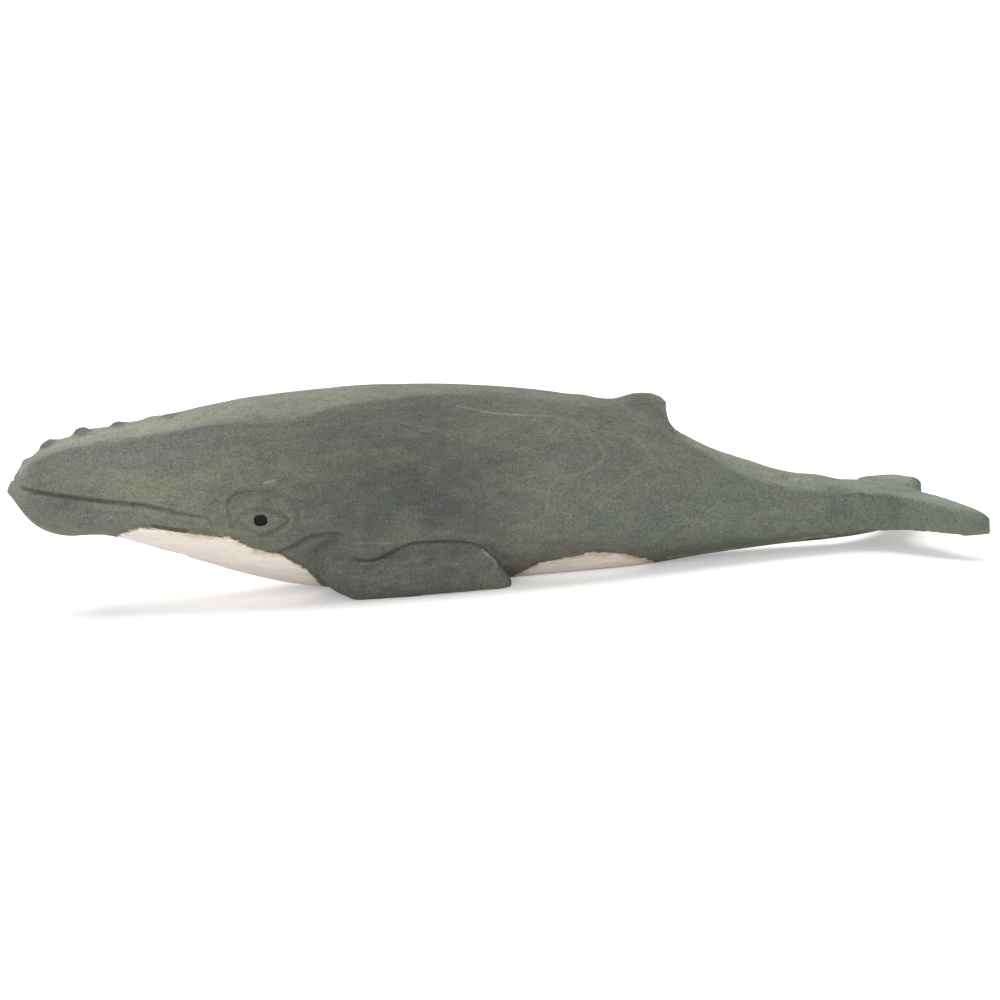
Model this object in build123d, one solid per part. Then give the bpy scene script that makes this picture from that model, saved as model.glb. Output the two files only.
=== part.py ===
from build123d import *
import math
import os

# A carved wooden humpback whale that lies on its belly. The snout points to -X, the flukes to +X, the
# whale's left side is -Y, and the flat underside is at Z = 0. All sizes are in millimetres.

# Trunk
trunk_length = 192.0
trunk_width = 43.6
trunk_height = 46.3
line_width = 1.0
line_depth = 0.7

# Flukes
fluke_reach = 28.0
fluke_span = 60.0
fluke_dowel_diameter = 3.0
fluke_dowel_length = 16.0
fluke_dowel_spacing = 5.4

# Flippers, let into flat seats in the flanks
flipper_length = 43.6
flipper_height = 11.9
flipper_thickness = 6.6
seat_tilt = 12.0
flipper_dowel_diameter = 3.0
flipper_dowel_length = 10.0
flipper_dowel_spacing = 17.0

# Dorsal fin
fin_length = 23.6
fin_height = 9.8
fin_base_width = 18.0
fin_crest_width = 4.0

# Eyes
eye_diameter = 2.6
eye_peg_length = 4.0
inner_lid_length = 11.4
inner_lid_height = 6.8
outer_lid_length = 17.2
outer_lid_height = 13.4

# Fits
glue_gap = 0.12
dowel_clearance = 0.06
overrun = 6.0

# The trunk is given by cross-sections. Each row has its place along the trunk, then as shares of the
# trunk's height and of its half width: crown height, shoulder height and width, widest height and
# width, bilge height and width, keel height.
section_count = 28
section_crowding = 1.3
trunk_station_shares = (
    (0.000, 0.618, 0.612, 0.087, 0.598, 0.156, 0.584, 0.101, 0.574),
    (0.010, 0.688, 0.667, 0.147, 0.611, 0.257, 0.549, 0.174, 0.520),
    (0.031, 0.773, 0.741, 0.229, 0.610, 0.376, 0.466, 0.275, 0.422),
    (0.062, 0.836, 0.800, 0.307, 0.595, 0.491, 0.415, 0.376, 0.368),
    (0.115, 0.879, 0.844, 0.390, 0.587, 0.624, 0.402, 0.505, 0.354),
    (0.198, 0.927, 0.877, 0.486, 0.562, 0.771, 0.365, 0.624, 0.224),
    (0.292, 0.976, 0.890, 0.550, 0.536, 0.899, 0.261, 0.716, 0.080),
    (0.375, 0.996, 0.903, 0.505, 0.518, 0.972, 0.140, 0.752, 0.004),
    (0.458, 1.000, 0.942, 0.413, 0.497, 1.000, 0.091, 0.780, -0.017),
    (0.552, 0.968, 0.929, 0.349, 0.471, 0.963, 0.086, 0.752, -0.019),
    (0.646, 0.903, 0.870, 0.321, 0.436, 0.881, 0.104, 0.661, -0.017),
    (0.740, 0.793, 0.752, 0.321, 0.389, 0.729, 0.091, 0.523, -0.013),
    (0.833, 0.596, 0.546, 0.303, 0.311, 0.546, 0.097, 0.394, 0.019),
    (0.917, 0.441, 0.384, 0.270, 0.248, 0.404, 0.098, 0.305, 0.038),
    (1.000, 0.350, 0.308, 0.260, 0.208, 0.300, 0.086, 0.255, 0.047),
)

# The hub carries the end of the tail stock on into the flukes. Rows as for the trunk, but placed along
# the reach of the flukes.
hub_station_shares = (
    (0.000, *trunk_station_shares[-1][1:]),
    (0.220, 0.333, 0.302, 0.420, 0.206, 0.475, 0.100, 0.410, 0.066),
    (0.500, 0.296, 0.270, 0.550, 0.210, 0.600, 0.140, 0.540, 0.126),
)

# One fluke, from the middle to the tip: place out along the half span, leading and trailing edge along
# the reach, then top and bottom of the leading edge and of the trailing edge in trunk heights.
fluke_station_shares = (
    (0.00, -0.12, 0.60, 0.316, 0.080, 0.281, 0.172),
    (0.22, 0.02, 0.66, 0.311, 0.084, 0.277, 0.174),
    (0.42, 0.29, 0.74, 0.304, 0.106, 0.268, 0.173),
    (0.60, 0.41, 0.80, 0.292, 0.120, 0.262, 0.170),
    (0.80, 0.57, 0.88, 0.274, 0.124, 0.248, 0.155),
    (0.93, 0.69, 0.95, 0.262, 0.122, 0.228, 0.136),
    (1.00, 0.79, 1.00, 0.249, 0.114, 0.202, 0.116),
)

# Lines carved in the flanks, as shares of the trunk's length and height
mouth_line_shares = (
    (-0.005, 0.670), (0.018, 0.646), (0.036, 0.624), (0.067, 0.600), (0.126, 0.556), (0.195, 0.498),
    (0.244, 0.443),
)
fold_line_shares = ((0.316, 0.246), (0.334, 0.282), (0.351, 0.317), (0.367, 0.327), (0.394, 0.333))
eye_place_share = (0.302, 0.429)
eye_flank_share = 0.917

# Tubercles on the snout: place along the trunk, half length and rise in trunk heights
tubercle_shares = (
    (0.026, 0.034, 0.020), (0.051, 0.036, 0.022), (0.093, 0.040, 0.020), (0.138, 0.042, 0.016),
    (0.184, 0.070, 0.014),
)

# Side outline of a flipper, from its front, over its top and down to its tip, as shares of its length
# and height, then the same for the rounded front corner
flipper_place_share = 0.362
flipper_top_shares = (
    (0.00, 0.52), (0.04, 0.87), (0.10, 0.93), (0.19, 0.84), (0.30, 0.77), (0.37, 0.79),
    (0.49, 0.93), (0.62, 1.00), (0.77, 0.95), (0.86, 0.85), (0.93, 0.55), (1.00, 0.14),
)
flipper_corner_shares = ((0.22, 0.00), (0.08, 0.16), (0.00, 0.52))
seat_flank_share = 0.700
# Outer face of a flipper: place along it, then how far it stands out at its foot, belly and top
flipper_bulge_shares = ((-0.03, 0.45, 0.64, 0.34), (0.50, 0.80, 0.94, 0.48), (1.03, 0.62, 0.60, 0.38))
flipper_dowel_place_share = (0.46, 0.53)

# Dorsal fin from its front over the crest to its foot behind, forward of the foot and up from it
fin_place_share = 0.8125
fin_crest_shares = ((1.00, 1.02), (0.59, 0.94), (0.40, 1.00), (0.27, 0.96), (0.18, 0.88))
fin_rear_shares = ((0.14, 0.78), (0.12, 0.30), (0.00, 0.00))
fin_thinning_share = 0.55

half_width = trunk_width / 2
snout_x = -(trunk_length + fluke_reach) / 2
tail_x = snout_x + trunk_length


def along(share):
    """X at a share of the trunk's length."""
    return snout_x + share * trunk_length


def up(share):
    """Z at a share of the trunk's height."""
    return share * trunk_height


def faired(table, place):
    """A row of the table at any place, on smooth curves through the rows."""
    last = len(table) - 1
    step = next(i for i in range(last) if place <= table[i + 1][0])
    here = table[step]
    there = table[step + 1]
    before = table[max(step - 1, 0)]
    after = table[min(step + 2, last)]
    span = there[0] - here[0]
    t = (place - here[0]) / span
    row = []
    for a, b, c, d in zip(before[1:], here[1:], there[1:], after[1:]):
        slope_here = (c - a) / (there[0] - before[0]) * span
        slope_there = (d - b) / (after[0] - here[0]) * span
        row.append(
            b * (2 * t**3 - 3 * t**2 + 1)
            + slope_here * (t**3 - 2 * t**2 + t)
            + c * (3 * t**2 - 2 * t**3)
            + slope_there * (t**3 - t**2)
        )
    return row


def crown_height(place):
    """Z of the crown at a share of the trunk's length."""
    return up(faired(trunk_station_shares, place)[0])


def bow(start, middle, end):
    """A smooth curve between two points that passes through a third halfway."""
    control = 2 * Vector(middle) - (Vector(start) + Vector(end)) / 2
    return Bezier(start, control, end)


def cross_section(x, row, inset=0):
    """One closed section at X: crown, flank, belly and flank, meeting at crisp shoulders and bilges."""
    crown, shoulder, shoulder_out, widest, widest_out, bilge, bilge_out, keel = row
    shoulder_y = shoulder_out * (half_width - inset)
    bilge_y = bilge_out * (half_width - inset)
    left_shoulder = (x, -shoulder_y, up(shoulder))
    right_shoulder = (x, shoulder_y, up(shoulder))
    left_bilge = (x, -bilge_y, up(bilge))
    right_bilge = (x, bilge_y, up(bilge))
    widest_y = widest_out * half_width - inset
    return outline_face(
        bow(left_shoulder, (x, 0, up(crown) - inset), right_shoulder),
        bow(right_shoulder, (x, widest_y, up(widest)), right_bilge),
        bow(right_bilge, (x, 0, up(keel) + inset), left_bilge),
        bow(left_bilge, (x, -widest_y, up(widest)), left_shoulder),
    )


def trunk_form(inset=0):
    """The trunk as it stands before anything is cut into it."""
    sections = []
    for step in range(section_count + 1):
        place = (step / section_count) ** section_crowding
        x = along(place) + inset * (1 - place)
        sections.append(cross_section(x, faired(trunk_station_shares, place), inset))
    return loft(sections)


def side_points(shares):
    """Points of the side view from shares of the trunk's length and height."""
    return [(along(share_x), up(share_z)) for share_x, share_z in shares]


def outline_face(*lines):
    """One flat face inside lines that follow each other."""
    return Face(Wire([edge for line in lines for edge in line.edges()]))


def across(face, reach):
    """A side view, drawn with Z as its second axis, carried through the whale to both sides."""
    return extrude(Plane.XZ * face, amount=reach, both=True)


def below_sole():
    """Everything under the flat that the whale rests on."""
    block = Box(trunk_length + 2 * overrun, trunk_width + 2 * overrun, trunk_height)
    return Pos((snout_x + tail_x) / 2, 0, -trunk_height / 2) * block


def tubercles():
    """Round bumps along the middle of the snout, each the top of a sunken ball."""
    bumps = []
    for place, half_length_share, rise_share in tubercle_shares:
        half_length = up(half_length_share)
        rise = up(rise_share)
        radius = (half_length**2 + rise**2) / (2 * rise)
        bumps.append(Pos(along(place), 0, crown_height(place) + rise - radius) * Sphere(radius))
    return bumps


def fin_profile(x, base_z, crest_z, share=1):
    """The fin cut across at X: wide at its base and narrow along its crest."""
    base = share * fin_base_width / 2
    crest = share * fin_crest_width / 2
    corners = ((x, -base, base_z), (x, -crest, crest_z), (x, crest, crest_z), (x, base, base_z))
    return outline_face(Polyline(*corners, close=True))


def dorsal_fin():
    """The low fin: its side outline, thinned towards its crest and towards its rear edge."""
    foot_x = along(fin_place_share)
    foot_z = crown_height(fin_place_share)
    crest = [(foot_x - a * fin_length, foot_z + b * fin_height) for a, b in fin_crest_shares]
    rear = [(foot_x - a * fin_length, foot_z + b * fin_height) for a, b in fin_rear_shares]
    front_foot = (crest[0][0], foot_z)
    root = (foot_x, foot_z - fin_height / 2)
    under = Polyline(rear[-1], root, front_foot, crest[0])
    side_view = outline_face(Spline(*crest), Line(crest[-1], rear[0]), Spline(*rear), under)
    crest_z = crest[0][1]
    front = fin_profile(crest[0][0], root[1], crest_z)
    back = fin_profile(foot_x, root[1], crest_z, fin_thinning_share)
    return across(side_view, fin_base_width) & loft([front, back], ruled=True)


def line_strokes():
    """The strokes of the mouth line, the lid rings and the fold, as side views."""
    strokes = []
    for shares in (mouth_line_shares, fold_line_shares):
        strokes.append(trace(Spline(*side_points(shares)), line_width))
    eye = Pos(along(eye_place_share[0]), up(eye_place_share[1]))
    for length, height in ((inner_lid_length, inner_lid_height), (outer_lid_length, outer_lid_height)):
        outside = Ellipse(length / 2, height / 2)
        inside = Ellipse(length / 2 - line_width, height / 2 - line_width)
        strokes.append(eye * (outside - inside))
    return strokes


def seat_plane(side):
    """The flat in the flank that a flipper is glued to, tilted with the flank."""
    tilt = math.radians(seat_tilt)
    origin = (along(flipper_place_share), side * seat_flank_share * half_width, 0)
    return Plane(origin=origin, x_dir=(1, 0, 0), z_dir=(0, side * math.cos(tilt), -math.sin(tilt)))


def flipper_outline(gap=0):
    """Side view of a flipper, or with no gap of the pocket that it is let into."""
    front_x = along(flipper_place_share) + gap
    length = flipper_length - 2 * gap
    height = flipper_height - gap
    top = [(front_x + a * length, b * height) for a, b in flipper_top_shares]
    corner = [(front_x + a * length, b * height) for a, b in flipper_corner_shares]
    tip_foot = (top[-1][0], 0)
    return outline_face(Spline(*top), Polyline(top[-1], tip_foot, corner[0]), Spline(*corner))


def flipper_envelope(side):
    """The rounded outer face of a flipper, from inside the trunk out."""
    sections = []
    seat_y = seat_flank_share * half_width
    lean = math.tan(math.radians(seat_tilt))
    for place, foot_out, belly_out, top_out in flipper_bulge_shares:
        x = along(flipper_place_share) + place * flipper_length
        inner = side * seat_y / 2
        belly_z = flipper_height / 2
        foot = (x, side * (seat_y + foot_out * flipper_thickness), 0)
        belly = (x, side * (seat_y + lean * belly_z + belly_out * flipper_thickness), belly_z)
        top = (x, side * (seat_y + lean * flipper_height + top_out * flipper_thickness), flipper_height)
        face_arc = ThreePointArc(foot, belly, top)
        over = (x, inner, flipper_height + glue_gap)
        under = (x, inner, 0)
        top_over = (x, top[1], flipper_height + glue_gap)
        sections.append(outline_face(face_arc, Polyline(top, top_over, over, under, foot)))
    return loft(sections)


def flipper_dowel_axes(side):
    """The two places on the seat where dowels go square through it."""
    place = along(flipper_place_share) + flipper_dowel_place_share[0] * flipper_length
    rise = flipper_dowel_place_share[1] * flipper_height
    plane = seat_plane(side)
    seat_y = side * (seat_flank_share * half_width + rise * math.tan(math.radians(seat_tilt)))
    for step in (-1, 1):
        origin = (place + step * flipper_dowel_spacing / 2, seat_y, rise)
        yield Plane(origin=origin, x_dir=plane.x_dir, z_dir=plane.z_dir)


def flipper_dowels(side, clearance=0):
    """Both dowels of one flipper, most of each in the trunk, or with a clearance their bores."""
    in_flipper = flipper_thickness / 2
    pins = []
    for axis in flipper_dowel_axes(side):
        pin = Cylinder(flipper_dowel_diameter / 2 + clearance, flipper_dowel_length + 2 * clearance)
        pins.append(axis * Pos(0, 0, in_flipper - flipper_dowel_length / 2) * pin)
    return pins


def flipper(side):
    """One flipper, flat on its seat and round outside."""
    blade = across(flipper_outline(glue_gap), trunk_width) & flipper_envelope(side)
    blade = split(blade, bisect_by=seat_plane(side), keep=Keep.TOP)
    for bore in flipper_dowels(side, dowel_clearance):
        blade -= bore
    return blade


def flipper_pocket(side):
    """What the flank loses to a flipper, down to the flat seat."""
    return split(across(flipper_outline(), trunk_width), bisect_by=seat_plane(side), keep=Keep.TOP)


def eye_peg(side, clearance=0):
    """A peg across the flank at the eye, longer than it needs to be, or with a clearance its socket."""
    floor_y = eye_flank_share * half_width - eye_peg_length - clearance
    radius = eye_diameter / 2 + clearance
    length = eye_peg_length + overrun
    peg = Cylinder(radius, length, align=(Align.CENTER, Align.CENTER, Align.MIN))
    place = Plane(
        origin=(along(eye_place_share[0]), side * floor_y, up(eye_place_share[1])),
        x_dir=(1, 0, 0),
        z_dir=(0, side, 0),
    )
    return place * peg


def fluke_dowels(clearance=0):
    """Two dowels one above the other between the tail stock and the flukes, or their bores."""
    middle = up((hub_station_shares[0][1] + hub_station_shares[0][-1]) / 2)
    pins = []
    for step in (-1, 1):
        pin = Cylinder(fluke_dowel_diameter / 2 + clearance, fluke_dowel_length + 2 * clearance)
        pins.append(Pos(tail_x, 0, middle + step * fluke_dowel_spacing / 2) * Rot(0, 90, 0) * pin)
    return pins


def fluke_half():
    """One fluke to the right, from the middle of the tail to its tip."""
    sections = []
    for out, lead, trail, lead_top, lead_foot, trail_top, trail_foot in fluke_station_shares:
        y = out * fluke_span / 2
        lead_x = tail_x + lead * fluke_reach
        trail_x = tail_x + trail * fluke_reach
        corners = Polyline(
            (lead_x, y, up(lead_foot)),
            (lead_x, y, up(lead_top)),
            (trail_x, y, up(trail_top)),
            (trail_x, y, up(trail_foot)),
            close=True,
        )
        sections.append(outline_face(corners))
    return loft(sections)


def tail_flukes():
    """Both flukes and the hub between them, flat where they meet the tail stock."""
    hub_sections = []
    for place, *row in hub_station_shares:
        hub_sections.append(cross_section(tail_x + place * fluke_reach, row))
    right = fluke_half()
    flukes = loft(hub_sections) + right + mirror(right, about=Plane.XZ)
    flukes = split(flukes, bisect_by=Plane(origin=(tail_x, 0, 0), z_dir=(1, 0, 0)), keep=Keep.TOP)
    for bore in fluke_dowels(dowel_clearance):
        flukes -= bore
    return flukes


def whale_body(form):
    """The trunk with its fin, tubercles and carved lines, cut for the eyes, flippers and flukes."""
    body = form + dorsal_fin()
    for bump in tubercles():
        body += bump
    body -= below_sole()
    core = trunk_form(line_depth)
    for stroke in line_strokes():
        body -= across(stroke, trunk_width) - core
    for side in (-1, 1):
        body -= flipper_pocket(side)
        body -= eye_peg(side, dowel_clearance)
        for bore in flipper_dowels(side, dowel_clearance):
            body -= bore
    for bore in fluke_dowels(dowel_clearance):
        body -= bore
    return body


def save(name, shape):
    """Writes one node."""
    shape.label = name
    export_step(shape, os.path.join("parts", name + ".step"))


os.makedirs("parts", exist_ok=True)
form = trunk_form()
save("body", whale_body(form))
save("tail_flukes", tail_flukes())
save("fluke_dowels", Compound(children=fluke_dowels()))
for name, side in (("left", -1), ("right", 1)):
    save("flipper_" + name, flipper(side))
    save("flipper_dowels_" + name, Compound(children=flipper_dowels(side)))
    save("eye_" + name, eye_peg(side) & form)
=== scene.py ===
import math

import bmesh
import bpy
import numpy as np
from mathutils import Matrix, Vector
from mathutils.bvhtree import BVHTree
from mathutils.kdtree import KDTree


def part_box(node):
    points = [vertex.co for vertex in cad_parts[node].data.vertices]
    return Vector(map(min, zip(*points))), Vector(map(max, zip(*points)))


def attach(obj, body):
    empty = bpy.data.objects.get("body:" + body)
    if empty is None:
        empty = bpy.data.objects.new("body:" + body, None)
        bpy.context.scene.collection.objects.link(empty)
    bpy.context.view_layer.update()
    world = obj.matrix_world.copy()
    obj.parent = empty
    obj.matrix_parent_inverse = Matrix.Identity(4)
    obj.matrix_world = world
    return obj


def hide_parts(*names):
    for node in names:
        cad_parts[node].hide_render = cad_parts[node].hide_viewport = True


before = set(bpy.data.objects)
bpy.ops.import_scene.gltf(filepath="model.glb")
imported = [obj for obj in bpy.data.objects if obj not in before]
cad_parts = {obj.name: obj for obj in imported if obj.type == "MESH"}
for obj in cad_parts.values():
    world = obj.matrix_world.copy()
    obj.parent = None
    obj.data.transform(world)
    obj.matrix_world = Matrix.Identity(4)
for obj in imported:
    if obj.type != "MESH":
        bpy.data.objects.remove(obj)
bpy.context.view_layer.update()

# The carving is shaped in millimetres, as points in NumPy arrays, and goes to Blender in metres.
MM = 0.001

# The left side, which the photograph shows, and the right side
sides = (-1, 1)
side_names = ("left", "right")

# The middle of the left eye's outer face
eye_low, eye_high = (np.array(corner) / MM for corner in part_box("eye_left"))
eye_centre = (eye_low + eye_high) / 2
eye_centre[1] = eye_low[1]

# The camera, fitted to the outline of the whale in the photograph
photo_side = 1000
photo_focal = 2143.0
sensor_width = 36.0
camera_distance = 500.0
camera_azimuth = -3.0
camera_elevation = 8.5
camera_roll = 4.0
camera_aim = (2.6, 0.0, 17.3)

# Light
sky_colour = (1.0, 1.0, 1.0)
sky_strength = 0.42
overhead_lamp = {"azimuth": -155.0, "elevation": 66.0, "strength": 0.8, "spread": 50.0}
front_lamp = {"azimuth": -10.0, "elevation": 4.0, "strength": 0.6, "spread": 60.0}
floor_colour = (0.94, 0.94, 0.94)
floor_side = 40.0
floor_glow = 0.3

# Mesh
voxel = 0.34
most_triangles = 190_000
outside = 60.0
square = ((-1, -1), (1, -1), (1, 1), (-1, 1))
ring_steps = 48
line_step = 0.4
smooth_angle = 50.0

# Eyes, and the solid's rings round them as half lengths and half heights of their middles
eye_half_length = 1.5
eye_half_height = 1.3
eye_squareness = 2.6
eye_sunk = 0.3
eye_dome = 0.15
eye_depth = 1.5
eye_steps = 40
eye_ring_shares = (1.0, 0.85, 0.6, 0.3)
cad_rings = ((5.2, 2.9), (8.1, 6.2))

# Filling the solid's carved lines, and softening tail stock, fluke tips and the whole block
heal_reach = 1.15
heal_rounds = 70
heal_edge_share = 0.3
stock_blend = (77.0, 90.0)
stock_fade = 4.0
stock_rounds = 40
tip_start = 10.0
tip_range = 10.0
tip_rounds = 5
settle_share = 0.5
settle_rounds = 2

# Rounds of softening of the surface's directions before it is cut or swollen along them
carve_softness = 4
swell_softness = 20
facet_softness = 30
bulge_softness = 1

# Knife facets
facet_seed = 7
facet_count = 460
facet_lengths = (5.0, 18.0)
facet_width_shares = (0.2, 0.42)
facet_depths = (0.03, 0.1)
facet_deepest = 0.14
facet_wander = 0.01
facet_slant = 0.12
facet_edge_share = 0.18
facet_facing = 0.8

# Seams between the pieces
seat_slope = math.tan(math.radians(12.0))
seat_offset = 15.26
seat_slack = 0.02
seam_out = 0.25
low_edge = 0.8

# Wear on ridges, and painted shade with stain in hollows, by how far a point stands out or lies deep
wear_rounds = 5
wear_from = 0.03
wear_range = 0.06
wear_share = 0.2
shade_and_stain_from = 0.03
shade_and_stain_range = 0.08
shade_and_stain_share = 0.6

# How far rubbed lines and painted highlights reach, and how patches, paint and tubercles fade at their
# ends
worn_and_highlit_reach = 0.34
worn_and_highlit_falloff = 0.75
sliver_reach = 1.15
tail_edge_reach = 0.9
patch_falloff = 0.7
throat_fade = 0.7
border_fade = 2.0
crown_softness = 1.4
tubercle_edge = 2.5
tubercle_taper = 0.8

# Stains and paints
along_grain = (5.0, 1.0, 1.0)
across_grain = (1.0, 5.0, 1.0)
fibre_stretch = 16.0
stain_olive = (0.155, 0.155, 0.118)
stain_grey = (0.128, 0.131, 0.112)
stain_green = (0.118, 0.136, 0.104)
stain_blue = (0.084, 0.088, 0.083)
# Teal stain, also used as painted shade round the flipper
teal_stain_and_shade = (0.088, 0.117, 0.1)
# Rubbed pale wood, also used for painted highlights
worn_wood_and_highlight = (0.33, 0.31, 0.25)
# Painted shade, with stain, in hollows and carved lines
groove_shade_and_stain = (0.032, 0.036, 0.028)
tubercle_brown = (0.118, 0.104, 0.088)
bare_edge = (0.56, 0.48, 0.32)
# Brown wood along the paint's edge, also used as painted shade in the sliver under the jaw
brown_wood_and_shade = (0.105, 0.075, 0.057)
paint_white = (0.9, 0.83, 0.765)
paint_thin = (0.84, 0.75, 0.68)
eye_brown = (0.012, 0.009, 0.008)
beech = (0.62, 0.48, 0.3)
beech_fleck = (0.42, 0.28, 0.16)

# Noises in the stains and paints, with the size of their lumps in millimetres
noises = {
    "patches": {"size": 8.0, "detail": 4.0, "roughness": 0.6, "distortion": 0.4},
    "clouds": {"size": 6.0, "stretch": (2, 1, 1), "detail": 4.0, "roughness": 0.6, "shift": 7.0},
    "pools": {"size": 4.0, "stretch": (1.6, 1, 1), "detail": 4.0, "roughness": 0.6, "shift": 21.0},
    "stray": {"size": 6.0, "detail": 4.0, "shift": 31.0},
    "fibre": {"size": 0.32, "roughness": 0.65},
    "mottle": {"size": 2.0, "detail": 5.0, "roughness": 0.8, "shift": 3.0},
    "speck": {"size": 0.4, "roughness": 0.9, "shift": 11.0},
    "rubbed": {"size": 1.2, "detail": 4.0, "roughness": 0.7, "shift": 5.0},
    "smudges": {"size": 1.2, "roughness": 0.7, "shift": 17.0},
    "tatters": {"size": 1.1, "stretch": (2.5, 1, 1), "detail": 4.0, "roughness": 0.75},
    "thin": {"size": 2.5, "stretch": (2, 1, 1), "shift": 9.0},
    "brush": {"size": 0.6, "stretch": (9, 1, 1), "roughness": 0.6, "shift": 2.0},
    "eye": {"size": 0.3},
    "fleck": {"size": 0.4, "stretch": (1, 6, 1)},
}

# Where a noise or a value begins to show and shows in full
steps = {
    "patches": (0.38, 0.64), "clouds": (0.32, 0.58), "pools": (0.36, 0.56), "stray": (0.58, 0.7),
    "rubbed": (0.4, 0.6), "thin": (0.4, 0.6), "brush": (0.3, 0.6), "fleck": (0.5, 0.68),
    "tail_edge": (0.35, 0.65), "sliver": (0.25, 0.55),
}

# The same for the paint's layers, in millimetres inside its border, and how far its ragged edge strays
paint_steps = {"brown": (-2.0, -0.2), "rim": (-0.2, 0.0), "cream": (2.0, 0.3), "full": (0.0, 0.35)}
tatter_size = 2.6

# How dark and how light a noise makes what lies under it, and how strongly a layer shows
shades = {
    "fibre": (0.75, 1.25), "mottle": (0.54, 1.46), "speck": (-0.25, 2.25), "rubbed": (0.5, 1.0),
    "smudges": (0.2, 1.4), "sliver": (0.6, 1.4), "eye": (0.7, 1.3),
}
stray_strength = 0.4
brown_strength = 0.6
cream_strength = 0.8

# Surface: lowest and highest roughness, shine, and the height of the grain in millimetres
wood_surface = (0.68, 0.86, 0.25)
eye_surface = (0.55, 0.7, 0.1)
beech_surface = (0.55, 0.7, 0.4)
grain_height = 0.04
fibre_height_share = 0.7
speck_height_share = 0.5

# Carved lines in pixels of the photograph, each point with its share of the full depth
mouth_px = (
    (19, 486, 0), (25, 488.5, 0.5), (34, 491, 0.8), (50, 494, 0.9), (75, 497.5, 1), (93, 500, 1),
    (116, 502.5, 1), (143, 505, 1), (163, 509.5, 0.8), (183, 514, 0.6), (200, 517, 0.35), (212, 519, 0),
)
fold_px = (
    (277, 555, 0.5), (286, 551, 0.9), (295, 546.5, 1), (307, 539.5, 1), (320, 536, 0.9), (333, 535, 0.7),
    (343, 534.5, 0),
)
low_fold_px = (
    (307, 568, 0), (309, 564, 0.5), (313, 556.5, 0.8), (318, 549, 1), (327, 543, 1), (336, 539.5, 0.6),
    (343, 538, 0),
)
outer_lid_px = (
    (236, 533, 0), (231, 525, 0.5), (228, 514, 0.9), (227, 505, 1), (230, 498, 1), (237, 493, 1),
    (248, 491, 0.9), (260, 490.5, 0.6), (272, 492, 0.5), (284, 496, 0.6), (292, 503, 0.6),
    (297, 513, 0.5), (296, 524, 0.4), (290, 534, 0.3), (282, 542, 0.2), (277, 548, 0),
)
inner_lid_px = (
    (238, 519, 0.35), (246, 511, 0.6), (259, 508, 0.65), (272, 510.5, 0.5), (281, 515, 0.6),
    (287, 520, 0.9), (282, 526, 1), (272, 532.5, 0.9), (261.5, 535, 0.5), (251.5, 531.5, 0.4),
    (242.5, 525.5, 0.35), (238, 519, 0.35),
)
seam_px = (
    (351, 557, 0), (356, 559, 0.7), (363, 560, 0.9), (372, 559.5, 1), (381, 557, 1), (393, 551.5, 1),
    (405, 546, 1), (417, 543, 1), (441, 541.5, 1), (465, 542.5, 1), (480, 545.5, 0.8), (490, 551, 0),
)

# The front end of the solid's mouth line and the front of its first tubercle, smoothed away
snout_tip_px = ((14, 484), (16, 484.5), (20, 486.5))
snout_front_px = ((16, 474), (20, 464), (23, 459), (27, 457))

# Where the solid's flipper blends into the cheek and its ledges are softened, and the foot of the fin
flipper_front_px = (
    (358, 560), (347, 553), (336, 551), (327, 556), (321, 565), (320, 577), (326, 587), (336, 593),
)
flipper_ledge_px = (
    (352, 558), (363, 560), (381, 557), (393, 551.5), (417, 543), (441, 541.5), (465, 542.5), (482, 546),
    (489, 551), (497, 560), (504, 571), (510, 581),
)
fin_foot_px = ((604, 405), (622, 410), (640, 417), (655, 424))

# Each of these lines, how far from it the solid is softened, and over how many rounds
soft_lines = ((flipper_front_px, 4.2, 200), (flipper_ledge_px, 2.3, 55), (fin_foot_px, 4.0, 80))

# Swellings and hollows in pixels, with their reach and rise in millimetres
swells_px = (
    ((336, 560), 6, 0.4), ((262, 545), 5, 0.4), ((212, 507), 3.6, -0.5), ((504, 560), 3.2, -0.4),
    ((302, 529), 4, -0.35), ((260, 521), 4.2, 0.3), ((628, 412), 6, 0.5), ((642, 418), 6, 0.8),
    ((656, 427), 6, 1), ((598, 406), 9, 0.8), ((690, 445), 8, 0.5),
)

# Rise of the crest of the snout in millimetres at pixel columns, and its half width there
crest_rise_px = (
    (13, 0), (16, 0.3), (18, 0.35), (20, 0.25), (22, 0.1), (25, 0), (29, 0), (33, 0.1), (38, 0.25),
    (42, 0.4), (45, 0.45), (48, 0.75), (51, 1.05), (54, 0.85), (60, 0.5), (70, 0.45), (76, 0.9), (82, 1),
    (88, 1.1), (98, 0.75), (110, 0.4), (114, 0.7), (126, 0.6), (140, 0.25), (163, 0.2), (167, 0.45),
    (179, 0.4), (200, 0.6), (260, 0.5), (320, 0.4), (400, 0), (500, 0.2), (560, 0.5), (600, 0.5),
    (655, 0.65), (664, 0.5), (672, 0),
)
crest_half_width_px = ((13, 3.2), (150, 3.5), (240, 12.0), (500, 12.0), (600, 6.0))
crest_row = 440
crest_floor = 10.0

# Lift of the snout's tip in millimetres, and the first and last columns of the brown tubercles
tip_lift_px = ((8, 0.55), (13, 0.2), (18, 0.0))
tubercles_px = ((40, 60), (73, 98), (111, 132), (164, 182))

# Lower edge of the crown, painted paler as top light with paler paint, the facet edge on the snout, and
# the faint second line below the mouth
crown_px = (
    (20, 473), (30, 463), (41, 458), (62, 450), (94, 445), (131, 439), (175, 431), (219, 423.5),
    (250, 422), (287, 421), (312, 414), (337, 406), (362, 402), (391, 399.5), (419, 395.5), (469, 394),
    (500, 394), (547, 400), (594, 405),
)
tail_crown_px = (
    (675, 434), (700, 450), (725, 465), (744, 475), (766, 483), (797, 489), (828, 492), (859, 492),
    (890, 495), (906, 497), (931, 503), (953, 510), (981, 517),
)
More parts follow.
